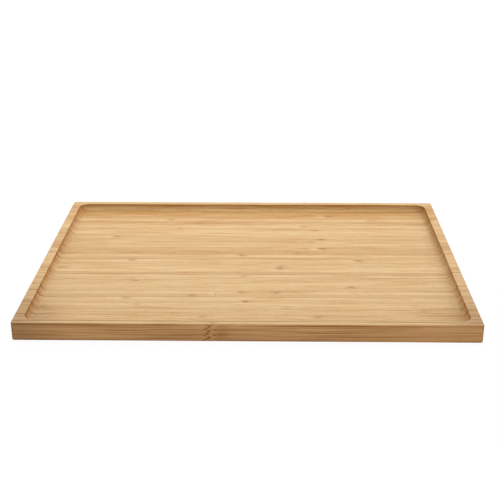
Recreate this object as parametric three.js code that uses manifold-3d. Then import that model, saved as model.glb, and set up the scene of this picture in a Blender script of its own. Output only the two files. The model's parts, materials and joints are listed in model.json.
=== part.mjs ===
// Bamboo serving tray: strips of bamboo stood on edge and glued face to face into one board,
// with a shallow round-cornered recess milled through all of them, so that a flat rim is left.
// Millimetres, +Z up. The origin is the middle of the underside, and +X runs along the strips.
import * as THREE from "three";
import { mergeVertices } from "three/addons/utils/BufferGeometryUtils.js";
import Module from "manifold-3d";

const wasm = await Module();
wasm.setup();

// The glued board
const TRAY_LENGTH = 400;
const TRAY_WIDTH = 300;
const BOARD_THICKNESS = 16.3;
const STRIP_THICKNESS = 6; // of one planed strip, across the tray
const GLUE_LINE = 0.15; // film of glue between two strips
const OUTER_EDGE_ROUND = 0.8; // sanded edges along the top and the underside
const TOP_CORNER_RADIUS = 1.6; // corners of the flat top and underside, inside the edge round

// The milled recess
const END_RIM_WIDTH = 8.9; // from the end of the tray to the recess wall
const SIDE_RIM_WIDTH = 7.5; // from the front or back edge of the tray to the recess wall
const RECESS_DEPTH = 6.5;
const COVE_RADIUS = 6; // hollow that leads the wall into the floor
const FLOOR_CORNER_RADIUS = 4; // corners of the flat floor, inside the cove
const RIM_EDGE_ROUND = 0.4; // sanded edge between the wall and the rim

// Facets of the round stretches, and how far a cutter reaches past the faces that it cuts
const CORNER_DIVISIONS = 3;
const COVE_FACETS = 7;
const EDGE_FACETS = 2;
const CUT_MARGIN = 2;

// Tones of the strips, counted from the front edge; the others are of the natural tone
const PALE_STRIPS = [9, 11, 13, 16, 19, 21, 22, 25, 27, 32, 36, 37, 38, 40, 43];
const HONEY_STRIPS = [12, 20, 26, 28, 29, 30, 42];
const TONES = { pale: "#e0bb86", natural: "#d9b27b", honey: "#cea56c" };
const SATIN_ROUGHNESS = 0.5;

const STRIP_PITCH = STRIP_THICKNESS + GLUE_LINE;
const STRIP_COUNT = Math.ceil((TRAY_WIDTH + GLUE_LINE) / STRIP_PITCH);

/** A rectangle with round corners, centred on the origin, as a ring of points. */
function roundedRectangle(length, width, radius) {
  const x = length / 2 - radius;
  const y = width / 2 - radius;
  const quarter = Math.PI / 2;
  const outline = new THREE.Shape();
  outline.absarc(x, y, radius, 0, quarter);
  outline.absarc(-x, y, radius, quarter, 2 * quarter);
  outline.absarc(-x, -y, radius, 2 * quarter, 3 * quarter);
  outline.absarc(x, -y, radius, 3 * quarter, 4 * quarter);
  return outline.getPoints(CORNER_DIVISIONS);
}

/** Points along an arc of a profile, in the plane of inset (x) and height (y), both ends included. */
function profileArc(centreInset, centreHeight, radius, startAngle, endAngle, facets) {
  const clockwise = endAngle < startAngle;
  const arc = new THREE.EllipseCurve(
    centreInset, centreHeight, radius, radius, startAngle, endAngle, clockwise);
  return arc.getPoints(facets);
}

/**
 * A closed solid swept round the tray: every point of the profile, from the bottom up, gives a level
 * ring that lies its inset inside a rectangle of the given size. The corners stay concentric.
 */
function ringLoft(length, width, innerInset, innerCornerRadius, profile) {
  const rings = profile.map(({ x: inset }) =>
    roundedRectangle(length - 2 * inset, width - 2 * inset, innerCornerRadius + innerInset - inset));
  const ringSize = rings[0].length;
  const positions = rings.flatMap((ring, level) =>
    ring.flatMap((point) => [point.x, point.y, profile[level].y]));
  const triangles = [];
  for (let level = 0; level < rings.length - 1; level += 1) {
    for (let i = 0; i < ringSize; i += 1) {
      const here = level * ringSize + i;
      const beside = level * ringSize + (i + 1) % ringSize;
      triangles.push(here, beside, beside + ringSize);
      triangles.push(here, beside + ringSize, here + ringSize);
    }
  }
  const topRing = (rings.length - 1) * ringSize;
  for (const [a, b, c] of THREE.ShapeUtils.triangulateShape(rings[0], [])) {
    triangles.push(c, b, a);
    triangles.push(topRing + a, topRing + b, topRing + c);
  }
  const geometry = new THREE.BufferGeometry();
  geometry.setAttribute("position", new THREE.Float32BufferAttribute(positions, 3));
  geometry.setIndex(triangles);
  return geometry;
}

/** The board before the recess is milled: a plate with its edges and corners sanded round. */
function boardGeometry() {
  const quarter = Math.PI / 2;
  const round = OUTER_EDGE_ROUND;
  const upperCentre = BOARD_THICKNESS - round;
  const profile = [
    ...profileArc(round, round, round, 3 * quarter, 2 * quarter, EDGE_FACETS),
    ...profileArc(round, upperCentre, round, 2 * quarter, quarter, EDGE_FACETS),
  ];
  return ringLoft(TRAY_LENGTH, TRAY_WIDTH, round, TOP_CORNER_RADIUS, profile);
}

/**
 * The space that the cutter clears: flat floor, cove, wall and the round up to the rim. A cove too large
 * for the depth meets the rim before it stands upright, as a deep cutter's does in a shallow cut.
 */
function recessGeometry() {
  const quarter = Math.PI / 2;
  const floor = BOARD_THICKNESS - RECESS_DEPTH;
  const wallTop = BOARD_THICKNESS - RIM_EDGE_ROUND;
  const leanAtTop = Math.asin(Math.max(0, 1 - (wallTop - floor) / COVE_RADIUS));
  const coveReach = COVE_RADIUS * Math.cos(leanAtTop);
  const coveEnd = 2 * quarter + leanAtTop;
  const cove = profileArc(coveReach, floor + COVE_RADIUS, COVE_RADIUS, 3 * quarter, coveEnd, COVE_FACETS);
  const rimEdge = profileArc(-RIM_EDGE_ROUND, wallTop, RIM_EDGE_ROUND, 0, quarter, EDGE_FACETS);
  const clear = new THREE.Vector2(-RIM_EDGE_ROUND, BOARD_THICKNESS + CUT_MARGIN);
  const wallIsStraight = COVE_RADIUS < wallTop - floor;
  const profile = [...cove, ...(wallIsStraight ? rimEdge : rimEdge.slice(1)), clear];
  const length = TRAY_LENGTH - 2 * END_RIM_WIDTH;
  const width = TRAY_WIDTH - 2 * SIDE_RIM_WIDTH;
  return ringLoft(length, width, coveReach, FLOOR_CORNER_RADIUS, profile);
}

/** One strip as planed, longer and higher than the board, which is trimmed after the glue has set. */
function planedStripGeometry(middleY) {
  const length = TRAY_LENGTH + 2 * CUT_MARGIN;
  const height = BOARD_THICKNESS + 2 * CUT_MARGIN;
  const geometry = new THREE.BoxGeometry(length, STRIP_THICKNESS, height);
  geometry.translate(0, middleY, BOARD_THICKNESS / 2);
  return geometry;
}

/** Turns a closed geometry into a solid that can be cut. */
function solidFrom(geometry) {
  geometry.deleteAttribute("normal");
  geometry.deleteAttribute("uv");
  const merged = mergeVertices(geometry);
  return new wasm.Manifold(new wasm.Mesh({
    numProp: 3,
    vertProperties: new Float32Array(merged.attributes.position.array),
    triVerts: new Uint32Array(merged.index.array),
  }));
}

/** Turns a cut solid back into a geometry. */
function geometryFrom(solid) {
  const { vertProperties, triVerts } = solid.getMesh();
  const geometry = new THREE.BufferGeometry();
  geometry.setAttribute("position", new THREE.BufferAttribute(new Float32Array(vertProperties), 3));
  geometry.setIndex(new THREE.BufferAttribute(new Uint32Array(triVerts), 1));
  geometry.computeVertexNormals();
  return geometry;
}

/** The name of a strip, by its place from the front edge to the back edge. */
function stripName(number) {
  if (number === 1) return "front_edge_strip";
  if (number === STRIP_COUNT) return "back_edge_strip";
  return `strip_${String(number).padStart(2, "0")}`;
}

/** A strip's own bamboo, in one of the three tones. */
function stripMaterial(number) {
  let tone = TONES.natural;
  if (PALE_STRIPS.includes(number)) tone = TONES.pale;
  if (HONEY_STRIPS.includes(number)) tone = TONES.honey;
  return new THREE.MeshStandardMaterial({ color: tone, roughness: SATIN_ROUGHNESS, metalness: 0 });
}

/** One strip of the finished tray, trimmed with the board and milled with the recess. */
function trayStrip(number, board, recess) {
  const middleY = (number - (STRIP_COUNT + 1) / 2) * STRIP_PITCH;
  const solid = solidFrom(planedStripGeometry(middleY)).intersect(board).subtract(recess);
  const geometry = geometryFrom(solid);
  geometry.translate(0, -middleY, 0);
  const strip = new THREE.Mesh(geometry, stripMaterial(number));
  strip.name = stripName(number);
  strip.position.y = middleY;
  return strip;
}

const board = solidFrom(boardGeometry());
const recess = solidFrom(recessGeometry());
const tray = new THREE.Group();
tray.name = "bamboo_serving_tray";
for (let number = 1; number <= STRIP_COUNT; number += 1) {
  tray.add(trayStrip(number, board, recess));
}

export default tray;
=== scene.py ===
"""Looks of a bamboo serving tray: glued strips, a milled recess, satin bamboo and soft studio light."""
import json
import math
import random

import bpy
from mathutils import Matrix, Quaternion, Vector


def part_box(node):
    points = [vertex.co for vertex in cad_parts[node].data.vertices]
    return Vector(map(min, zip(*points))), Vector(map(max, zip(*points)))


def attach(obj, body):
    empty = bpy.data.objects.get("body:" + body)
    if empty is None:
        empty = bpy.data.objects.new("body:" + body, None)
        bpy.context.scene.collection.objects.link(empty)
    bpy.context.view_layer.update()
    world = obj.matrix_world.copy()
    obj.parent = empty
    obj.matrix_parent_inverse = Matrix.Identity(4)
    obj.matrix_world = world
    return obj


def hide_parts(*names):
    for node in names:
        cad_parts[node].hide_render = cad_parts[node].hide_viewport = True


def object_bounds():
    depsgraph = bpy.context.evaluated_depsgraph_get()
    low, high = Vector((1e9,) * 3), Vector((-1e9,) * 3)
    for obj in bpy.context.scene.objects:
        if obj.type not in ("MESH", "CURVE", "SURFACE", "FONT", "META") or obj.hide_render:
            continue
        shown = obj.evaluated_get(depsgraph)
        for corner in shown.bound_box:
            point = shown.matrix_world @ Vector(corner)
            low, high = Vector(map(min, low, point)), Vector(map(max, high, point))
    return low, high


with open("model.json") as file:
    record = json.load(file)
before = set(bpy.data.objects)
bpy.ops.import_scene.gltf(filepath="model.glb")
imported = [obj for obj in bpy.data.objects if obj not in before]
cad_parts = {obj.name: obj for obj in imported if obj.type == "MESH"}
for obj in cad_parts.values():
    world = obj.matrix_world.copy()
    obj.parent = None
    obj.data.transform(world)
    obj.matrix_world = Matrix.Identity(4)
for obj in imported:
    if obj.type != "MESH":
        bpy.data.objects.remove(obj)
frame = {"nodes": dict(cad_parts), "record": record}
cad_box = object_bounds()

# Sizes of the tray in metres: the outer ones come from the frame, the milled ones repeat the model's
TRAY_LENGTH = cad_box[1][0] - cad_box[0][0]
TRAY_WIDTH = cad_box[1][1] - cad_box[0][1]
BOARD_THICKNESS = cad_box[1][2] - cad_box[0][2]
OUTER_EDGE_ROUND = 0.0008
TOP_CORNER_RADIUS = 0.0016
END_RIM_WIDTH = 0.0089
SIDE_RIM_WIDTH = 0.0075
RECESS_DEPTH = 0.0065
COVE_RADIUS = 0.006
FLOOR_CORNER_RADIUS = 0.004
RIM_EDGE_ROUND = 0.0004
CUT_MARGIN = 0.002

# Facets of the round stretches
CORNER_FACETS = 18
COVE_FACETS = 24
EDGE_FACETS = 6
# A face counts as flat where its normal lies along an axis by this much
FLAT_FACE = 0.99999

# Strips in order from the front edge to the back edge
STRIP_NODES = sorted(frame["nodes"], key=lambda node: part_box(node)[0][1])
STRIP_SLOTS = {row["node"]: row["material_slot"] for row in frame["record"]["subparts"]}
STRIP_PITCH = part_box(STRIP_NODES[2])[0][1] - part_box(STRIP_NODES[1])[0][1]

# Knuckles by strip number from the front: metres from the middle of its length, and how dark it is
KNUCKLES = {
    1: ((-0.0298, 1.0),), 2: ((-0.038, 0.5),), 5: ((-0.038, 0.4), (0.061, 0.6)), 7: ((0.155, 0.4),),
    8: ((-0.183, 0.6), (0.033, 0.4)), 9: ((-0.099, 0.4),), 10: ((-0.002, 0.9),), 11: ((-0.111, 0.5),),
    12: ((-0.051, 0.6),), 13: ((-0.007, 0.6), (0.025, 0.6)), 15: ((0.095, 0.7),), 17: ((-0.108, 0.4),),
    18: ((-0.112, 0.3),), 19: ((-0.005, 0.5),), 22: ((-0.181, 0.6), (0.03, 0.9)), 23: ((0.032, 0.5),),
    25: ((-0.116, 0.6), (0.107, 0.7)), 27: ((-0.008, 0.7),), 28: ((0.048, 0.4),), 30: ((0.073, 0.9),),
    33: ((0.063, 0.3),), 34: ((0.073, 0.9),), 35: ((-0.14, 0.8),), 38: ((0.066, 0.5),),
    39: ((-0.075, 0.5),), 40: ((0.056, 0.6),), 41: ((-0.057, 0.4),), 43: ((-0.088, 0.6), (0.129, 0.4)),
    45: ((0.084, 1.0),), 49: ((0.06, 0.8),),
}
# Curls of pale fibres by strip number: metres from the middle of its length, and how strong it is
CURLS = {12: (-0.0310, 0.6), 13: (-0.0305, 1.0), 14: (-0.0295, 1.0), 15: (-0.0310, 0.5)}
# A mark far off the tray stands for none
NO_MARK = (9.0, 0.0)
# Strips that are deeper or paler in tone than their slot, by number: a share of the fibre colour; the
# deep tones of strips 44 to 47 are painted shade along the back wall, the rest is the strips' own tone
TONE_AND_SHADE_DEPTHS = {
    3: 0.10, 4: 0.14, 6: 0.09, 7: 0.06, 8: 0.03, 12: -0.30, 14: -0.05, 15: -0.07, 16: 0.08, 18: -0.04,
    19: 0.04, 20: 0.06, 22: 0.11, 23: -0.09, 24: -0.03, 25: 0.14, 26: -0.15, 27: 0.06, 28: 0.13,
    29: 0.06, 30: -0.05, 31: -0.07, 32: 0.21, 33: 0.12, 34: 0.17, 35: -0.03, 36: 0.14, 38: 0.18,
    39: 0.11, 40: 0.07, 41: 0.28, 42: 0.16, 43: 0.17, 44: 0.43, 45: 0.41, 46: 0.42, 47: 0.62,
    48: 0.20, 49: -0.08,
}
# Glue lines that show dark, by the strip in front of them: how dark at the left and the right end
DARK_GLUE_LINES = {
    1: (1.5, 1.4), 2: (0.2, 0.5), 3: (1.0, 0.6), 5: (0.3, 0.6), 7: (0.6, 0.3), 11: (1.0, 0.5),
    13: (0.7, 0.5), 15: (0.1, 0.4), 18: (0.2, 1.0), 19: (0.8, 0.7), 25: (0.6, 0.1), 41: (0.2, 0.6),
}
# The other glue lines are up to this dark
FAINT_GLUE = 0.3
# Strips that turn their bark side to the outside of the board
OUTER_BARK_SIDES = {1: -1.0, 49: 1.0}
# What differs from strip to strip by chance, from the least to the most
BARK_DEPTHS = (0.2, 1.0)
DASH_PLACES = (0.3, 0.7)
TONE_SPREAD = (-0.02, 0.02)

# What a strip's material knows about it: input of the node tree, and attribute of the mesh
STRIP_MARKS = {
    "Strip Number": "strip_number",
    "First Knuckle": "first_knuckle", "First Darkness": "first_darkness",
    "Second Knuckle": "second_knuckle", "Second Darkness": "second_darkness",
    "Knuckle Place": "knuckle_place", "Bark Side": "bark_side", "Bark Depth": "bark_depth",
    "Bark Face": "bark_face", "Tone And Shade Depth": "depth",
    "Curl Place": "curl_place", "Curl Strength": "curl_strength",
    "Front Glue Left": "front_glue_left", "Front Glue Right": "front_glue_right",
    "Back Glue Left": "back_glue_left", "Back Glue Right": "back_glue_right",
}


class Formula:
    """A number in a node tree that can be used in plain arithmetic."""

    def __init__(self, tree, socket):
        self.tree = tree
        self.socket = socket

    def maths(self, operation, *others, clamp=False):
        """A new number from this one and others."""
        node = self.tree.nodes.new("ShaderNodeMath")
        node.operation = operation
        node.use_clamp = clamp
        for socket, value in zip(node.inputs, (self, *others)):
            feed(self.tree, value, socket)
        return Formula(self.tree, node.outputs[0])

    def __add__(self, other):
        return self.maths("ADD", other)

    def __sub__(self, other):
        return self.maths("SUBTRACT", other)

    def __mul__(self, other):
        return self.maths("MULTIPLY", other)

    def __truediv__(self, other):
        return self.maths("DIVIDE", other)

    def __neg__(self):
        return self.maths("MULTIPLY", -1.0)

    def __rsub__(self, other):
        return -self + other

    def __gt__(self, other):
        return self.maths("GREATER_THAN", other)

    def __lt__(self, other):
        return self.maths("LESS_THAN", other)

    def sin(self):
        return self.maths("SINE")

    def cos(self):
        return self.maths("COSINE")

    def abs(self):
        return self.maths("ABSOLUTE")

    def floor(self):
        return self.maths("FLOOR")

    def round(self):
        return self.maths("ROUND")

    def sign(self):
        return self.maths("SIGN")

    def power(self, exponent):
        return self.maths("POWER", exponent)

    def clamp(self):
        return self.maths("ADD", 0.0, clamp=True)

    def where(self, yes, no):
        """Takes yes where this number is 1 and no where it is 0."""
        return self * (yes - no) + no

    def bell(self, width):
        """1 where this number is 0, falling off smoothly over the width on both sides."""
        ratio = self / width
        return (-(ratio * ratio)).maths("EXPONENT")

    def ramp(self, start, end):
        """Rises smoothly from 0 at start to 1 at end."""
        node = self.tree.nodes.new("ShaderNodeMapRange")
        node.interpolation_type = "SMOOTHSTEP"
        feed(self.tree, self, node.inputs["Value"])
        node.inputs["From Min"].default_value = start
        node.inputs["From Max"].default_value = end
        return Formula(self.tree, node.outputs["Result"])


def feed(tree, value, socket):
    """Links a formula or a socket to a socket, or sets a plain value on it."""
    if isinstance(value, Formula):
        value = value.socket
    if isinstance(value, bpy.types.NodeSocket):
        tree.links.new(value, socket)
    else:
        socket.default_value = value


def split(tree, vector):
    """The three numbers of a vector."""
    node = tree.nodes.new("ShaderNodeSeparateXYZ")
    feed(tree, vector, node.inputs[0])
    return [Formula(tree, socket) for socket in node.outputs]


def joined(tree, x, y, z):
    """A vector of three numbers."""
    node = tree.nodes.new("ShaderNodeCombineXYZ")
    for value, socket in zip((x, y, z), node.inputs):
        feed(tree, value, socket)
    return node.outputs[0]


def lofted_solid(tree, sizes, rings, profile):
    """
    A closed solid of level rings, each a rectangle with round corners that are concentric.
    sizes is (half length, half width, inset of the innermost ring, its corner radius), and profile
    gives a ring's inset and height from its number.
    """
    half_length, half_width, inner_inset, inner_radius = sizes
    corner_points = CORNER_FACETS + 1
    ring_points = 4 * corner_points
    tube = tree.nodes.new("GeometryNodeMeshCylinder")
    tube.fill_type = "NGON"
    tube.inputs["Vertices"].default_value = ring_points
    tube.inputs["Side Segments"].default_value = rings - 1
    tube.inputs["Radius"].default_value = 1.0
    tube.inputs["Depth"].default_value = 1.0
    place = tree.nodes.new("GeometryNodeInputPosition")
    x, y, z = split(tree, place.outputs[0])

    # The tube stands from -0.5 to 0.5, which gives a ring's number
    inset, height = profile(((z + 0.5) * (rings - 1)).round())
    turn = y.maths("ARCTAN2", x) / math.tau
    point = (turn * ring_points).round().maths("FLOORED_MODULO", ring_points)
    quarter = (point / corner_points).floor()
    angle = (quarter + (point - quarter * corner_points) / CORNER_FACETS) * (math.pi / 2)
    middle = (quarter + 0.5) * (math.pi / 2)
    radius = inner_radius + inner_inset - inset
    corner_x = middle.cos().sign() * (half_length - inner_inset - inner_radius)
    corner_y = middle.sin().sign() * (half_width - inner_inset - inner_radius)

    shape = tree.nodes.new("GeometryNodeSetPosition")
    tree.links.new(tube.outputs["Mesh"], shape.inputs["Geometry"])
    new_place = joined(tree, corner_x + radius * angle.cos(), corner_y + radius * angle.sin(), height)
    tree.links.new(new_place, shape.inputs["Position"])
    return shape.outputs["Geometry"]


def board_solid(tree, size):
    """The glued board before the recess is milled, with its edges and corners sanded round."""
    edge = size["Outer Edge Round"]
    thickness = size["Board Thickness"]

    def profile(ring):
        upper = ring > EDGE_FACETS + 0.5
        angle = (ring - upper * (EDGE_FACETS + 1)) * (math.pi / 2 / EDGE_FACETS)
        inset = edge * (1.0 - upper.where(angle.cos(), angle.sin()))
        height = upper.where(thickness - edge + edge * angle.sin(), edge - edge * angle.cos())
        return inset, height

    sizes = (size["Tray Length"] / 2, size["Tray Width"] / 2, edge, size["Top Corner Radius"])
    return lofted_solid(tree, sizes, 2 * (EDGE_FACETS + 1), profile)


def recess_solid(tree, size):
    """What the cutter clears: flat floor, cove, short wall and the sanded round up to the rim."""
    cove = size["Cove Radius"]
    edge = size["Rim Edge Round"]
    thickness = size["Board Thickness"]
    recess_floor = thickness - size["Recess Depth"]
    last = COVE_FACETS + EDGE_FACETS + 2

    def profile(ring):
        upper = ring > COVE_FACETS + 0.5
        top = ring > last - 0.5
        cove_angle = ring * (math.pi / 2 / COVE_FACETS)
        edge_angle = (ring - top - (COVE_FACETS + 1)) * (math.pi / 2 / EDGE_FACETS)
        inset = upper.where(edge * (edge_angle.cos() - 1.0), cove * (1.0 - cove_angle.sin()))
        wall = thickness - edge + edge * edge_angle.sin() + top * CUT_MARGIN
        height = upper.where(wall, recess_floor + cove - cove * cove_angle.cos())
        return inset, height

    half_length = size["Tray Length"] / 2 - size["End Rim Width"]
    half_width = size["Tray Width"] / 2 - size["Side Rim Width"]
    sizes = (half_length, half_width, cove, size["Floor Corner Radius"])
    return lofted_solid(tree, sizes, last + 1, profile)


def planed_strip(tree, size):
    """A strip before the board is trimmed, from the glue line in front of it to the one behind it."""
    bar = tree.nodes.new("GeometryNodeMeshCube")
    length = size["Tray Length"] + 2 * CUT_MARGIN
    breadth = size["Strip Back"] - size["Strip Front"]
    height = size["Board Thickness"] + 2 * CUT_MARGIN
    tree.links.new(joined(tree, length, breadth, height), bar.inputs["Size"])
    place = tree.nodes.new("GeometryNodeTransform")
    tree.links.new(bar.outputs["Mesh"], place.inputs["Geometry"])
    middle = (size["Strip Front"] + size["Strip Back"]) / 2
    tree.links.new(joined(tree, 0.0, middle, size["Board Thickness"] / 2), place.inputs["Translation"])
    return place.outputs["Geometry"]


def cut(tree, operation, *solids):
    """Joins solids by a boolean; a difference takes the second away from the first."""
    node = tree.nodes.new("GeometryNodeMeshBoolean")
    node.solver = "MANIFOLD"
    node.operation = operation
    rest = solids
    if operation == "DIFFERENCE":
        tree.links.new(solids[0], node.inputs["Mesh 1"])
        rest = solids[1:]
    for solid in rest:
        tree.links.new(solid, node.inputs["Mesh 2"])
    return node.outputs["Mesh"]


def softly_shaded(tree, geometry):
    """Smooth shading over the round stretches, with every flat face kept flat to its edges."""
    normal = tree.nodes.new("GeometryNodeInputNormal")
    x, y, z = split(tree, normal.outputs["Normal"])
    flatness = x.abs().maths("MAXIMUM", y.abs()).maths("MAXIMUM", z.abs()) > FLAT_FACE
    # Read from faces to edges, it picks every edge that a flat face touches
    of_faces = tree.nodes.new("GeometryNodeFieldOnDomain")
    of_faces.domain = "FACE"
    of_faces.data_type = "FLOAT"
    tree.links.new(flatness.socket, of_faces.inputs[0])
    smooth = tree.nodes.new("GeometryNodeSetShadeSmooth")
    smooth.domain = "FACE"
    smooth.inputs["Shade Smooth"].default_value = True
    tree.links.new(geometry, smooth.inputs["Geometry"])
    crisp = tree.nodes.new("GeometryNodeSetShadeSmooth")
    crisp.domain = "EDGE"
    crisp.inputs["Shade Smooth"].default_value = False
    tree.links.new(smooth.outputs["Geometry"], crisp.inputs["Geometry"])
    tree.links.new(of_faces.outputs[0], crisp.inputs["Selection"])
    return crisp.outputs["Geometry"]


def stored(tree, geometry, name, value):
    """Keeps a number of the strip on its mesh, where its material reads it."""
    node = tree.nodes.new("GeometryNodeStoreNamedAttribute")
    node.data_type = "FLOAT"
    node.domain = "POINT"
    node.inputs["Name"].default_value = name
    tree.links.new(geometry, node.inputs["Geometry"])
    feed(tree, value, node.inputs["Value"])
    return node.outputs["Geometry"]


def strip_tree():
    """The node tree that makes one strip of the finished tray, with its sizes as inputs."""
    tree = bpy.data.node_groups.new("milled_bamboo_strip", "GeometryNodeTree")
    inputs = {
        "Tray Length": TRAY_LENGTH, "Tray Width": TRAY_WIDTH, "Board Thickness": BOARD_THICKNESS,
        "Outer Edge Round": OUTER_EDGE_ROUND, "Top Corner Radius": TOP_CORNER_RADIUS,
        "End Rim Width": END_RIM_WIDTH, "Side Rim Width": SIDE_RIM_WIDTH,
        "Recess Depth": RECESS_DEPTH, "Cove Radius": COVE_RADIUS,
        "Floor Corner Radius": FLOOR_CORNER_RADIUS, "Rim Edge Round": RIM_EDGE_ROUND,
        "Strip Front": 0.0, "Strip Back": STRIP_PITCH,
        **{name: 0.0 for name in STRIP_MARKS},
    }
    for name, value in inputs.items():
        socket = tree.interface.new_socket(name, in_out="INPUT", socket_type="NodeSocketFloat")
        socket.default_value = value
    tree.interface.new_socket("Bamboo", in_out="INPUT", socket_type="NodeSocketMaterial")
    tree.interface.new_socket("Strip", in_out="OUTPUT", socket_type="NodeSocketGeometry")
    given = tree.nodes.new("NodeGroupInput")
    size = {name: Formula(tree, given.outputs[name]) for name in inputs}

    trimmed = cut(tree, "INTERSECT", board_solid(tree, size), planed_strip(tree, size))
    milled = cut(tree, "DIFFERENCE", trimmed, recess_solid(tree, size))
    strip = softly_shaded(tree, milled)
    for name, attribute_name in STRIP_MARKS.items():
        strip = stored(tree, strip, attribute_name, size[name])
    whole = tree.nodes.new("GeometryNodeRealizeInstances")
    tree.links.new(strip, whole.inputs["Geometry"])
    finish = tree.nodes.new("GeometryNodeSetMaterial")
    tree.links.new(whole.outputs["Geometry"], finish.inputs["Geometry"])
    tree.links.new(given.outputs["Bamboo"], finish.inputs["Material"])
    result = tree.nodes.new("NodeGroupOutput")
    tree.links.new(finish.outputs["Geometry"], result.inputs["Strip"])
    return tree


def made_by_tree(name, tree, values):
    """A plain mesh object that a node tree makes from the given input values."""
    piece = bpy.data.objects.new(name, bpy.data.meshes.new(name))
    bpy.context.scene.collection.objects.link(piece)
    modifier = piece.modifiers.new("shape", "NODES")
    modifier.node_group = tree
    for item in tree.interface.items_tree:
        if item.name in values:
            modifier[item.identifier] = values[item.name]
    bpy.context.view_layer.update()
    made = piece.evaluated_get(bpy.context.evaluated_depsgraph_get())
    mesh = bpy.data.meshes.new_from_object(made)
    piece.modifiers.clear()
    piece.data = mesh
    mesh.name = name
    return piece


def glue_line_after(index):
    """How far back the glue line behind a strip lies; the outer strips reach past the board's edges."""
    if index < 0:
        return cad_box[0][1] - CUT_MARGIN
    if index == len(STRIP_NODES) - 1:
        return cad_box[1][1] + CUT_MARGIN
    return (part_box(STRIP_NODES[index])[1][1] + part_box(STRIP_NODES[index + 1])[0][1]) / 2


# Colours of the bamboo by tone: the wood between the fibres, and the fibres
BAMBOO_TONES = {
    "bamboo_pale": ((0.760, 0.525, 0.255), (0.56, 0.290, 0.088)),
    "bamboo_natural": ((0.710, 0.475, 0.220), (0.52, 0.256, 0.070)),
    "bamboo_honey": ((0.655, 0.410, 0.178), (0.47, 0.215, 0.053)),
}
BARK_BROWN = (0.80, 0.478, 0.218)
BARK_FIBRE = (0.38, 0.144, 0.040)
KNUCKLE_BROWN = (0.36, 0.110, 0.006)
KNUCKLE_LINE_BROWN = (0.31, 0.105, 0.025)
GLUE_BROWN = (0.20, 0.070, 0.014)
# Painted shade of the front corners: its brown, and its fibres
CORNER_SHADE_BROWN = (0.415, 0.226, 0.088)
CORNER_SHADE_FIBRE = (0.165, 0.070, 0.022)
# End grain brown, which in the coves also stands for painted shade
END_GRAIN_AND_SHADE_BROWN = (0.345, 0.160, 0.046)
# Brown of the painted shade under the rim, also used for the darker back of the right cove
RECESS_DARK_BROWN = (0.28, 0.120, 0.030)
PALE_FIBRE = (0.88, 0.655, 0.365)


def attribute(tree, name):
    """A number that the strip keeps on its mesh."""
    node = tree.nodes.new("ShaderNodeAttribute")
    node.attribute_name = name
    return Formula(tree, node.outputs["Fac"])


def noise(tree, vector, detail=2.0, roughness=0.5):
    """Smooth noise around 0, about -0.5 to 0.5, at a place that is already scaled."""
    node = tree.nodes.new("ShaderNodeTexNoise")
    node.inputs["Scale"].default_value = 1.0
    node.inputs["Detail"].default_value = detail
    node.inputs["Roughness"].default_value = roughness
    feed(tree, vector, node.inputs["Vector"])
    return Formula(tree, node.outputs["Fac"]) - 0.5


def cells(tree, vector):
    """Distance from the middle of the nearest of many scattered cells."""
    node = tree.nodes.new("ShaderNodeTexVoronoi")
    node.inputs["Scale"].default_value = 1.0
    feed(tree, vector, node.inputs["Vector"])
    return Formula(tree, node.outputs["Distance"])


def mixed(tree, share, first, second):
    """A colour between two colours."""
    node = tree.nodes.new("ShaderNodeMix")
    node.data_type = "RGBA"
    feed(tree, share, node.inputs["Factor"])
    for value, socket in ((first, node.inputs["A"]), (second, node.inputs["B"])):
        feed(tree, (*value, 1.0) if isinstance(value, tuple) else value, socket)
    return node.outputs["Result"]


# Where on a strip its bark skin starts, and how much of the bark's own colour shows there
BARK_SKIN = (0.82, 0.87)
BARK_COVER = 0.9
# How end grain comes in on a slope, reaching far onto shallow slopes so that it also paints the coves'
# shade, and which slopes count as upright
END_ON_POWER = 0.7
UPRIGHT = (0.6, 0.0)
# Moves the grain of each strip along, so that no two are alike
STRIP_SHIFT = 3.71


class StripPlace:
    """Where a point of a strip lies, as the formulas that its material is made of."""

    def __init__(self, tree):
        self.tree = tree
        place = tree.nodes.new("ShaderNodeTexCoord")
        self.x, self.y, self.z = split(tree, place.outputs["Object"])
        normal_x, _, normal_z = split(tree, place.outputs["Normal"])
        self.end_on = normal_x.abs().power(END_ON_POWER)
        self.upright = normal_z.ramp(*UPRIGHT)
        self.number = attribute(tree, "strip_number")
        self.shift = self.number * STRIP_SHIFT
        # 0 at the glue line before the strip, 1 at the one behind it; strip 2 starts at the first one
        self.across = (self.y - glue_line_after(0)) / STRIP_PITCH - self.number + 2.0
        # 0 on the pith side, 1 on the bark side
        self.bark = ((self.across - 0.5) * attribute(tree, "bark_side") + 0.5).clamp()
        self.bark_depth = attribute(tree, "bark_depth")
        self.bark_face = attribute(tree, "bark_face")
        self.on_bark = self.bark.ramp(*BARK_SKIN) * self.bark_face
        within_length = self.x.abs() < TRAY_LENGTH / 2 - END_RIM_WIDTH
        within_width = self.y.abs() < TRAY_WIDTH / 2 - SIDE_RIM_WIDTH
        self.in_recess = within_length * within_width


# Kinds of grain: how fine along the strip, across it and down it, per metre, then detail and roughness
GRAIN = {
    "streaks": (14.0, 400.0, 400.0, 2.0, 0.5),
    "lines": (26.0, 850.0, 850.0, 2.0, 0.55),
    "bark_lines": (8.0, 900.0, 1350.0, 1.0, 0.6),
    "dashes": (75.0, 1000.0, 1000.0, 1.0, 0.5),
    "pores": (330.0, 1500.0, 1500.0, 1.0, 0.5),
    "fine": (70.0, 2600.0, 2600.0, 2.0, 0.6),
    "ripples": (420.0, 340.0, 800.0, 1.0, 0.5),
    "pale_strokes": (95.0, 560.0, 560.0, 1.0, 0.5),
    "broken": (130.0, 520.0, 900.0, 2.0, 0.6),
}
# Grain that shows only where its noise is strong: from where, and where it is full
GRAIN_LIMITS = {"dashes": (0.08, 0.32), "pores": (0.06, 0.30), "pale_strokes": (0.02, 0.16)}
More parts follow.
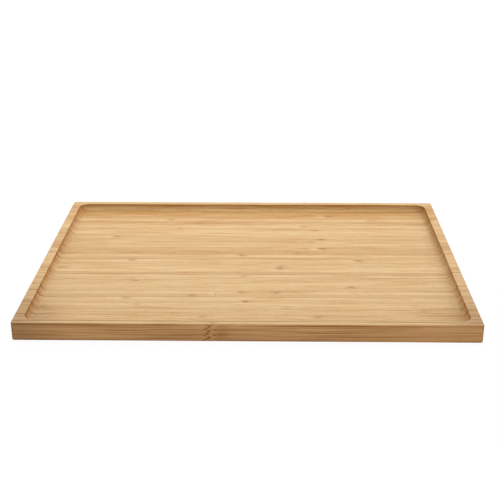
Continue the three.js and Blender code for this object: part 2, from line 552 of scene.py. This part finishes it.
# Bundles of fibres: how fine they are, as above, and the edge and the core of one
BUNDLE_FINENESS = (14.0, 1150.0, 1150.0)
BUNDLE_LIMITS = (0.42, 0.12)
# The slow change of tone along a strip, per metre
SLOW_FINENESS = 6.0


def along_strip(place, fibre_y, along, across, down):
    """A place for noise that is drawn out along the strip."""
    return joined(place.tree, place.x * along + place.shift, fibre_y * across, place.z * down)


def grain(place, fibre_y, kind):
    """One kind of grain, as noise around 0 or as a strength from 0 to 1."""
    along, across, down, detail, roughness = GRAIN[kind]
    value = noise(place.tree, along_strip(place, fibre_y, along, across, down), detail, roughness)
    if kind in GRAIN_LIMITS:
        return value.ramp(*GRAIN_LIMITS[kind])
    return value


# Marks of a knuckle: how far each reaches along the strip, in metres
KNUCKLE_REACH = {
    "dash": 0.0040, "band": 0.0045, "ripples": 0.0065, "halo": 0.009, "tail": 0.020,
    "line": 0.0016, "light_line": 0.0013,
}
# How far a mark lies from its knuckle, and how much wider its band is on the bark
HALO_OFFSET = 0.007
LIGHT_LINE_OFFSET = 0.0026
BARK_BAND_OFFSET = 0.0088
BARK_BAND_WIDENING = 0.4
# How far the dash and its tail reach across the strip, and how much less of the dash a bark face shows
DASH_BREADTH = 0.30
TAIL_BREADTH = 0.10
DASH_LESS_ON_BARK = 0.9
# Jagged edges of the marks: how fine, per metre, how far they jump, and how far the fibres swirl
JAG_FINENESS = 700.0
KNUCKLE_JAG = 0.010
KNUCKLE_SWIRL = 0.004
# The wavy line on the bark: how it wanders, per metre, and its waves
WANDER_BY_STRIP = 2.3
WANDER_FINENESS = (150.0, 420.0)
WAVE_FINENESS = 1250.0
WAVE_SLIP = 9.0
WAVE_HEIGHT = 0.0016
WAVE_WANDER = 0.010
WAVE_JAG = 0.005
WAVE_OFFSET = 0.0035


def marks_of_knuckle(place, which, jag, wave):
    """The marks of one of a strip's two knuckles, each as strong as its knuckle is dark."""
    straight = place.x - attribute(place.tree, f"{which}_knuckle")
    darkness = attribute(place.tree, f"{which}_darkness")
    distance = straight + jag * KNUCKLE_JAG
    band_width = place.on_bark * BARK_BAND_WIDENING + 1.0
    offsets = {
        "dash": distance,
        "band": (distance - place.on_bark * BARK_BAND_OFFSET) / band_width,
        "ripples": distance,
        "halo": distance + HALO_OFFSET,
        "tail": distance,
        "line": straight + wave,
        "light_line": straight + wave - LIGHT_LINE_OFFSET,
    }
    return {mark: offset.bell(KNUCKLE_REACH[mark]) * darkness for mark, offset in offsets.items()}


def knuckle_marks(place):
    """What the knuckles draw: dashes in a faint band, ripples, and a wavy line on the bark."""
    tree = place.tree
    jag_place = joined(tree, place.number, place.y * JAG_FINENESS, place.z * JAG_FINENESS)
    jag = noise(tree, jag_place, detail=2.0, roughness=0.6)
    wander_y, wander_z = WANDER_FINENESS
    wander_place = joined(tree, place.number * WANDER_BY_STRIP, place.y * wander_y, place.z * wander_z)
    wander = noise(tree, wander_place, detail=1.0, roughness=0.6)
    waves = (place.z * WAVE_FINENESS + wander * WAVE_SLIP).sin() * WAVE_HEIGHT
    wave = waves + wander * WAVE_WANDER + jag * WAVE_JAG + WAVE_OFFSET

    first, second = (marks_of_knuckle(place, which, jag, wave) for which in ("first", "second"))
    marks = {mark: first[mark] + second[mark] for mark in KNUCKLE_REACH}
    off_middle = place.across - attribute(tree, "knuckle_place")
    dash_share = 1.0 - place.bark_face * DASH_LESS_ON_BARK
    marks["dash"] = marks["dash"] * off_middle.bell(DASH_BREADTH) * dash_share
    marks["tail"] = marks["tail"] * off_middle.bell(TAIL_BREADTH)
    marks["swirl"] = marks["band"] * jag * KNUCKLE_SWIRL
    return marks


# How much each kind of grain darkens the bamboo: all over, added towards the bark, added on a bark face
GRAIN_DEPTHS = {
    "bundles": (0.10, 0.22, 0.0),
    "streaks": (1.7, 0.0, -1.7),
    "lines": (1.6, 0.7, -1.4),
    "bark_lines": (0.0, 0.0, 3.8),
    "dashes": (0.70, 0.0, -0.5),
    "pores": (0.55, 0.0, -0.3),
    "fine": (0.7, 0.0, 0.0),
    "slow": (0.9, 0.0, 0.2),
}
# Fibres that crowd towards the bark, and the share of fibre that plain bamboo starts from
BARK_CROWDING = 4.0
BARK_DENSITY = 0.34
PLAIN_SHARE = 0.10
# Dark lines along the edges of a bark face: height in metres, and depth, the lower one being painted
# shade at the face's foot; and its paler foot
BARK_EDGE_LINES = ((0.0147, 0.40), (0.0004, 0.90))
BARK_EDGE_WIDTH = 0.0008
BARK_FOOT = (0.009, 0.001)
BARK_FOOT_PALENESS = 0.10
# How much the marks of a knuckle darken or lighten the fibres
RIPPLE_DEPTH = 3.0
TAIL_DEPTH = 0.42
HALO_PALENESS = 0.10
LIGHT_LINE_PALENESS = 0.5


def all_grain(place, marks):
    """Fibres, from broad streaks to single bundles, and the slow change of tone along a strip."""
    tree = place.tree
    fibre_y = place.y + marks["swirl"]
    kinds = {kind: grain(place, fibre_y, kind) for kind in GRAIN if kind != "broken"}
    # Breaks in the knuckles, from 0 to 1, which don't follow the swirl that they give the fibres
    kinds["broken"] = grain(place, place.y, "broken") + 0.5
    kinds["ripples"] = kinds["ripples"] * marks["ripples"]
    kinds["bundles"] = cells(tree, along_strip(place, fibre_y, *BUNDLE_FINENESS)).ramp(*BUNDLE_LIMITS)
    slow_place = joined(tree, place.x * SLOW_FINENESS + place.shift, place.number, 0.0)
    kinds["slow"] = noise(tree, slow_place, detail=2.0)
    return kinds


def fibre_share(place, marks, kinds):
    """How much of the fibres' colour shows, from 0 to 1."""
    share = place.bark.power(BARK_CROWDING) * place.bark_depth * BARK_DENSITY + PLAIN_SHARE
    for kind, (all_over, towards_bark, on_face) in GRAIN_DEPTHS.items():
        depth = place.bark * towards_bark + place.on_bark * on_face + all_over
        share = share + kinds[kind] * depth
    # Dark lines along the bark face's edges; the one at its foot is painted shade
    for height, depth in BARK_EDGE_LINES:
        share = share + (place.z - height).bell(BARK_EDGE_WIDTH) * place.on_bark * depth
    share = share - place.z.ramp(*BARK_FOOT) * place.on_bark * BARK_FOOT_PALENESS
    share = share + kinds["ripples"] * RIPPLE_DEPTH + marks["tail"] * TAIL_DEPTH
    share = share - marks["halo"] * HALO_PALENESS
    share = share - marks["light_line"] * place.on_bark * LIGHT_LINE_PALENESS
    # The strip's tone depth, which on strips 44 to 47 along the back wall is painted shade
    return (share + attribute(place.tree, "depth")).clamp()


# Pale strokes beside a knuckle, and the curl: how fine it is and how it bends, per metre, and its reach
STROKE_COVER = 0.50
CURL_FINENESS = 480.0
CURL_BENDS = 900.0
CURL_SLANT = 1.5
CURL_REACH = 0.0095
# The curl's pale and dark strokes: from which strength of its noise to which, and how much they cover
CURL_PALE_LIMITS = (-0.03, 0.11)
CURL_PALE_COVER = 0.65
CURL_DARK_LIMITS = (-0.02, -0.18)
CURL_DARK_COVER = 0.8


def with_pale_fibres(place, marks, kinds, colour, fibre):
    """The colour with the pale strokes beside the knuckles, and the strokes of the curl."""
    tree = place.tree
    distance = place.x - attribute(tree, "curl_place")
    slant = distance * (place.y * CURL_BENDS).sin() * CURL_SLANT
    curl_place = joined(tree, place.x * CURL_FINENESS, (place.y + slant) * CURL_FINENESS, place.number)
    strokes = noise(tree, curl_place, detail=1.0, roughness=0.5)
    curl = distance.bell(CURL_REACH) * attribute(tree, "curl_strength")
    pale_curl = curl * strokes.ramp(*CURL_PALE_LIMITS) * CURL_PALE_COVER
    dark_curl = curl * strokes.ramp(*CURL_DARK_LIMITS) * CURL_DARK_COVER
    pale = marks["halo"] * kinds["pale_strokes"] * STROKE_COVER + pale_curl
    colour = mixed(tree, pale.clamp(), colour, PALE_FIBRE)
    return mixed(tree, dark_curl, colour, fibre)


# Painted shade at the front corners, where the light falls off: from where along and across the tray,
# and how much less at the right end
CORNER_SHADE_ALONG = (0.14, 0.198)
CORNER_SHADE_ACROSS = (0.03, 0.15)
CORNER_SHADE_COVER = 0.62
RIGHT_CORNER_LESS = 0.2
RIGHT_BARK_LESS = 0.6
# End grain, darkened also to paint the shade in the coves: its cover all over, and how much more the
# crowded fibres and the bundles give
END_GRAIN_AND_SHADE_COVER = 0.52
END_GRAIN_CROWDING = 2.5
END_GRAIN_DENSITY = 0.8
END_GRAIN_BUNDLES = 0.25
# The dark line of painted shade under the rim, by height, and the darker right cove, along and across
# the tray
UNDER_RIM_SHADE_HEIGHTS = (0.0125, 0.0158)
UNDER_RIM_SHADE_COVER = 0.45
DARK_COVE_ALONG = (0.10, 0.18)
DARK_COVE_ACROSS = (0.0, 0.07)
DARK_COVE_COVER = 0.42


def with_end_grain_and_painted_shade(place, share, bundles, colour):
    """The colour with painted shade at the front corners, the end grain, which also paints the coves'
    shade, the painted shade under the rim and the darker back of the right cove.
    """
    tree = place.tree
    # Painted shade where the light falls off towards the front corners, less of it at the right end
    right_less = (place.x > 0.0) * (place.on_bark * RIGHT_BARK_LESS + RIGHT_CORNER_LESS)
    corner_shade = place.x.abs().ramp(*CORNER_SHADE_ALONG) * (1.0 - right_less) * (-place.y).ramp(*CORNER_SHADE_ACROSS)
    corner_shade_colour = mixed(tree, share, CORNER_SHADE_BROWN, CORNER_SHADE_FIBRE)
    colour = mixed(tree, corner_shade * CORNER_SHADE_COVER, colour, corner_shade_colour)
    # End grain, real on the ends and also painted shade in the coves
    crowded = place.bark.power(END_GRAIN_CROWDING) * place.bark_depth * END_GRAIN_DENSITY
    end_grain_and_shade = place.end_on * (crowded + bundles * END_GRAIN_BUNDLES + END_GRAIN_AND_SHADE_COVER)
    colour = mixed(tree, end_grain_and_shade.clamp(), colour, END_GRAIN_AND_SHADE_BROWN)
    # Painted shade at the top of the recess walls, just under the rim
    under_rim_shade = place.in_recess * place.upright * place.z.ramp(*UNDER_RIM_SHADE_HEIGHTS)
    colour = mixed(tree, under_rim_shade * UNDER_RIM_SHADE_COVER, colour, RECESS_DARK_BROWN)
    right_back = place.x.ramp(*DARK_COVE_ALONG) * place.y.ramp(*DARK_COVE_ACROSS)
    dark_cove = place.in_recess * place.end_on * right_back
    return mixed(tree, dark_cove * DARK_COVE_COVER, colour, RECESS_DARK_BROWN)


# Glue lines: where the rims and the ends change them, in metres along the tray
GLUE_ON_RIM = (0.186, 0.192)
GLUE_LEFT_TO_RIGHT = (-0.15, 0.15)
GLUE_MORE_ON_ENDS = 0.7
# How they come and go along the strip: per metre, the shift from line to line, the range and the middle
GLUE_FINENESS = 14.0
GLUE_SHIFT = 5.3
GLUE_RANGE = 2.0
GLUE_MIDDLE = 0.65
# Their width: of the faintest, more with darkness, more on the rim; and their soft edge in strip widths
GLUE_WIDTH = 0.3
GLUE_WIDER_DARK = 0.7
GLUE_WIDER_ON_RIM = 0.4
GLUE_EDGE = (0.070, 0.040)


def glue_line(place, side, line_number, off_line):
    """The half of a glue line that lies on one side of a strip."""
    tree = place.tree
    on_rim = place.x.abs().ramp(*GLUE_ON_RIM)
    left = attribute(tree, f"{side}_glue_left")
    right = attribute(tree, f"{side}_glue_right")
    darkness = left + (right - left) * place.x.ramp(*GLUE_LEFT_TO_RIGHT)
    darkness = darkness * (place.end_on * GLUE_MORE_ON_ENDS + 1.0)
    along_place = joined(tree, place.x * GLUE_FINENESS + line_number * GLUE_SHIFT, 0.0, 0.0)
    along = noise(tree, along_place, detail=2.0) * GLUE_RANGE + GLUE_MIDDLE
    along = along.maths("MAXIMUM", on_rim.maths("MAXIMUM", place.end_on))
    width = darkness * GLUE_WIDER_DARK + GLUE_WIDTH + darkness * on_rim * GLUE_WIDER_ON_RIM
    return (off_line / width).ramp(*GLUE_EDGE) * darkness * along


# Knuckles on the surface: how broken their marks are, and how much of their colour they give
DASH_EVENNESS = 0.45
BAND_DEPTH = 0.30
BAND_DEEPER_ON_BARK = 0.25
LINE_BREAKS = 1.5
LINE_EVENNESS = 0.15
KNUCKLE_COVER = 0.9
# The satin finish: its gloss, its roughness, and how much rougher fibres, fine grain and end grain are
SPECULAR_LEVEL = 0.28
ROUGHNESS = 0.38
ROUGHER_FIBRES = 0.14
ROUGHER_FINE_GRAIN = 0.1
ROUGHER_END_GRAIN = 0.15
# Relief of the surface: its strength, its depth in metres, and the part of each kind of grain in it
RELIEF_STRENGTH = 0.35
RELIEF_DEPTH = 0.00006
RELIEF_FINE_GRAIN = 0.6
RELIEF_BUNDLES = 0.35
RELIEF_KNUCKLES = 0.8


def bamboo(slot):
    """Satin bamboo of one tone: fibres along X, denser on the bark side, knuckles and glue lines."""
    wood, fibre = BAMBOO_TONES[slot]
    material = bpy.data.materials.new(slot)
    material.use_nodes = True
    tree = material.node_tree
    place = StripPlace(tree)
    marks = knuckle_marks(place)
    kinds = all_grain(place, marks)
    share = fibre_share(place, marks, kinds)
    broken = kinds["broken"]
    band_depth = place.on_bark * BAND_DEEPER_ON_BARK + BAND_DEPTH
    knuckle = (marks["dash"] * (broken + DASH_EVENNESS) + marks["band"] * broken * band_depth).clamp()
    wavy_line = (marks["line"] * (broken * LINE_BREAKS + LINE_EVENNESS) * place.on_bark).clamp()
    front_line = glue_line(place, "front", place.number - 1.0, place.across.abs())
    back_line = glue_line(place, "back", place.number, (place.across - 1.0).abs())

    colour = mixed(tree, share, wood, fibre)
    colour = with_pale_fibres(place, marks, kinds, colour, fibre)
    bark_colour = mixed(tree, share, BARK_BROWN, BARK_FIBRE)
    colour = mixed(tree, place.on_bark * BARK_COVER, colour, bark_colour)
    colour = with_end_grain_and_painted_shade(place, share, kinds["bundles"], colour)
    colour = mixed(tree, knuckle * KNUCKLE_COVER, colour, KNUCKLE_BROWN)
    colour = mixed(tree, wavy_line * KNUCKLE_COVER, colour, KNUCKLE_LINE_BROWN)
    colour = mixed(tree, (front_line + back_line).clamp(), colour, GLUE_BROWN)
    fine = kinds["fine"]
    rough = share * ROUGHER_FIBRES + fine * ROUGHER_FINE_GRAIN + place.end_on * ROUGHER_END_GRAIN
    hollows = fine * RELIEF_FINE_GRAIN + kinds["bundles"] * RELIEF_BUNDLES + knuckle * RELIEF_KNUCKLES

    shader = tree.nodes["Principled BSDF"]
    tree.links.new(colour, shader.inputs["Base Color"])
    feed(tree, (rough + ROUGHNESS).clamp(), shader.inputs["Roughness"])
    shader.inputs["Specular IOR Level"].default_value = SPECULAR_LEVEL
    relief = tree.nodes.new("ShaderNodeBump")
    relief.inputs["Strength"].default_value = RELIEF_STRENGTH
    relief.inputs["Distance"].default_value = RELIEF_DEPTH
    feed(tree, -hollows, relief.inputs["Height"])
    tree.links.new(relief.outputs["Normal"], shader.inputs["Normal"])
    return material


def glue_darkness(number):
    """How dark the glue line behind a strip is at its left end and at its right end."""
    faint = FAINT_GLUE * random.Random(number).random()
    return DARK_GLUE_LINES.get(number, (faint, faint))


def strip_values(index, node, materials):
    """What the node tree needs to know about one strip."""
    number = index + 1
    luck = random.Random(number)
    knuckles = (*KNUCKLES.get(number, ()), NO_MARK, NO_MARK)
    bark_side = OUTER_BARK_SIDES.get(number, luck.choice((-1.0, 1.0)))
    curl = CURLS.get(number, NO_MARK)
    front_glue = glue_darkness(number - 1)
    back_glue = glue_darkness(number)
    return {
        "Strip Front": glue_line_after(index - 1), "Strip Back": glue_line_after(index),
        "Strip Number": float(number),
        "First Knuckle": knuckles[0][0], "First Darkness": knuckles[0][1],
        "Second Knuckle": knuckles[1][0], "Second Darkness": knuckles[1][1],
        "Bark Side": bark_side,
        "Bark Depth": luck.uniform(*BARK_DEPTHS),
        "Knuckle Place": luck.uniform(*DASH_PLACES),
        "Bark Face": 1.0 if number in OUTER_BARK_SIDES else 0.0,
        "Tone And Shade Depth": TONE_AND_SHADE_DEPTHS.get(number, 0.0) + luck.uniform(*TONE_SPREAD),
        "Curl Place": curl[0], "Curl Strength": curl[1],
        "Front Glue Left": front_glue[0], "Front Glue Right": front_glue[1],
        "Back Glue Left": back_glue[0], "Back Glue Right": back_glue[1],
        "Bamboo": materials[STRIP_SLOTS[node]],
    }


def make_strips():
    """The strips of the tray, each standing for its node of the model."""
    tree = strip_tree()
    materials = {slot: bamboo(slot) for slot in BAMBOO_TONES}
    for index, node in enumerate(STRIP_NODES):
        piece = made_by_tree(f"bamboo_{node}", tree, strip_values(index, node, materials))
        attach(piece, "root")
        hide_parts(node)


# The camera, as it stood for the photograph
CAMERA_PLACE = (0.0166, -0.8860, 0.3939)
CAMERA_AZIMUTH = math.radians(-1.05)
CAMERA_ELEVATION = math.radians(22.81)
CAMERA_ROLL = math.radians(-0.13)
FOCAL_PIXELS = 980.2
IMAGE_PIXELS = 500
SENSOR_WIDTH = 36.0
NEAREST_SEEN = 0.01


def make_camera():
    """The camera at the photograph's viewing angle."""
    data = bpy.data.cameras.new("camera")
    data.sensor_width = SENSOR_WIDTH
    data.lens = FOCAL_PIXELS / IMAGE_PIXELS * SENSOR_WIDTH
    data.clip_start = NEAREST_SEEN
    camera = bpy.data.objects.new("camera", data)
    bpy.context.scene.collection.objects.link(camera)
    ahead = Vector((
        math.sin(CAMERA_AZIMUTH) * math.cos(CAMERA_ELEVATION),
        math.cos(CAMERA_AZIMUTH) * math.cos(CAMERA_ELEVATION),
        -math.sin(CAMERA_ELEVATION),
    ))
    camera.location = CAMERA_PLACE
    camera.rotation_mode = "QUATERNION"
    camera.rotation_quaternion = ahead.to_track_quat("-Z", "Y") @ Quaternion((0, 0, 1), CAMERA_ROLL)
    bpy.context.scene.camera = camera


# Colours of the light
WHITE = (1.0, 1.0, 1.0)
WARM_WHITE = (1.0, 0.94, 0.86)
# Softboxes: place and size in metres, radiance, colour, and whether the satin finish mirrors it
SOFTBOXES = {
    "back_softbox": ((0.15, 2.2, 1.25), (2.4, 1.2), 3.35, WHITE, False),
    "right_softbox": ((2.2, 0.3, 1.2), (1.2, 0.8), 4.5, WHITE, False),
    "left_softbox": ((-2.2, 0.3, 1.2), (1.2, 0.8), 3.45, WHITE, False),
    "overhead_softbox": ((-0.04, 0.24, 0.68), (0.5, 0.5), 2.88, WHITE, True),
    "front_softbox": ((0.9, -1.4, 0.45), (0.8, 0.6), 3.05, WARM_WHITE, False),
}


def make_softbox(name, place, size, radiance, colour, in_gloss):
    """A soft rectangular lamp that points at the tray and isn't seen itself."""
    data = bpy.data.lights.new(name, "AREA")
    data.shape = "RECTANGLE"
    data.size, data.size_y = size
    data.energy = radiance * math.pi * size[0] * size[1]
    data.color = colour
    lamp = bpy.data.objects.new(name, data)
    bpy.context.scene.collection.objects.link(lamp)
    lamp.location = place
    lamp.rotation_mode = "QUATERNION"
    lamp.rotation_quaternion = (-Vector(place)).to_track_quat("-Z", "Y")
    lamp.visible_camera = False
    lamp.visible_glossy = in_gloss


def seen_directly(tree):
    """1 for rays from the camera and for reflections, 0 for light that bounces between surfaces."""
    path = tree.nodes.new("ShaderNodeLightPath")
    kinds = ("Camera", "Glossy", "Transmission")
    camera, glossy, transmission = (Formula(tree, path.outputs[f"Is {kind} Ray"]) for kind in kinds)
    return camera.maths("MAXIMUM", glossy).maths("MAXIMUM", transmission)


# The fill light, what the floor throws back at the tray, and the floor: sizes in metres
FILL_COLOUR = (0.27, 0.25, 0.22)
BOUNCE_COLOUR = (0.80, 0.75, 0.68)
FLOOR_SIZE = 12.0
FLOOR_DROP = 0.0004
FLOOR_GLOW = 0.95
FLOOR_SHADOW_SHARE = 0.08
SHADOW_REACH = (0.55, 0.30)


def make_surroundings():
    """White surroundings with a soft fill, a floor that keeps the tray's soft shadow, and softboxes."""
    scene = bpy.context.scene
    scene.view_settings.view_transform = "Standard"
    world = bpy.data.worlds.new("white_surroundings")
    scene.world = world
    world.use_nodes = True
    tree = world.node_tree
    background = tree.nodes["Background"]
    tree.links.new(mixed(tree, seen_directly(tree), FILL_COLOUR, WHITE), background.inputs["Color"])

    for name, values in SOFTBOXES.items():
        make_softbox(name, *values)

    mesh = bpy.data.meshes.new("floor")
    half = FLOOR_SIZE / 2
    corners = [(-half, -half), (half, -half), (half, half), (-half, half)]
    mesh.from_pydata([(x, y, -FLOOR_DROP) for x, y in corners], [], [(0, 1, 2, 3)])
    floor = bpy.data.objects.new("floor", mesh)
    scene.collection.objects.link(floor)
    mesh.materials.append(floor_material())


def floor_material():
    """White where it is seen, with the tray's shadow near it, and a dim bounce for the tray's sides."""
    material = bpy.data.materials.new("white_floor")
    material.use_nodes = True
    tree = material.node_tree
    tree.nodes.clear()
    output = tree.nodes.new("ShaderNodeOutputMaterial")
    place = tree.nodes.new("ShaderNodeTexCoord")
    x, y, _ = split(tree, place.outputs["Object"])
    near_tray = (x * x + y * y).maths("SQRT").ramp(*SHADOW_REACH)
    glow = tree.nodes.new("ShaderNodeEmission")
    tree.links.new((1.0 - near_tray * (1.0 - FLOOR_GLOW)).socket, glow.inputs["Strength"])
    shaded = tree.nodes.new("ShaderNodeBsdfDiffuse")
    shaded.inputs["Color"].default_value = (FLOOR_SHADOW_SHARE,) * 3 + (1.0,)
    seen = tree.nodes.new("ShaderNodeAddShader")
    tree.links.new(glow.outputs[0], seen.inputs[0])
    tree.links.new(shaded.outputs[0], seen.inputs[1])
    bounce = tree.nodes.new("ShaderNodeBsdfDiffuse")
    bounce.inputs["Color"].default_value = (*BOUNCE_COLOUR, 1.0)
    mix = tree.nodes.new("ShaderNodeMixShader")
    tree.links.new(seen_directly(tree).socket, mix.inputs[0])
    tree.links.new(bounce.outputs[0], mix.inputs[1])
    tree.links.new(seen.outputs[0], mix.inputs[2])
    tree.links.new(mix.outputs[0], output.inputs["Surface"])
    return material


make_camera()
make_strips()
make_surroundings()
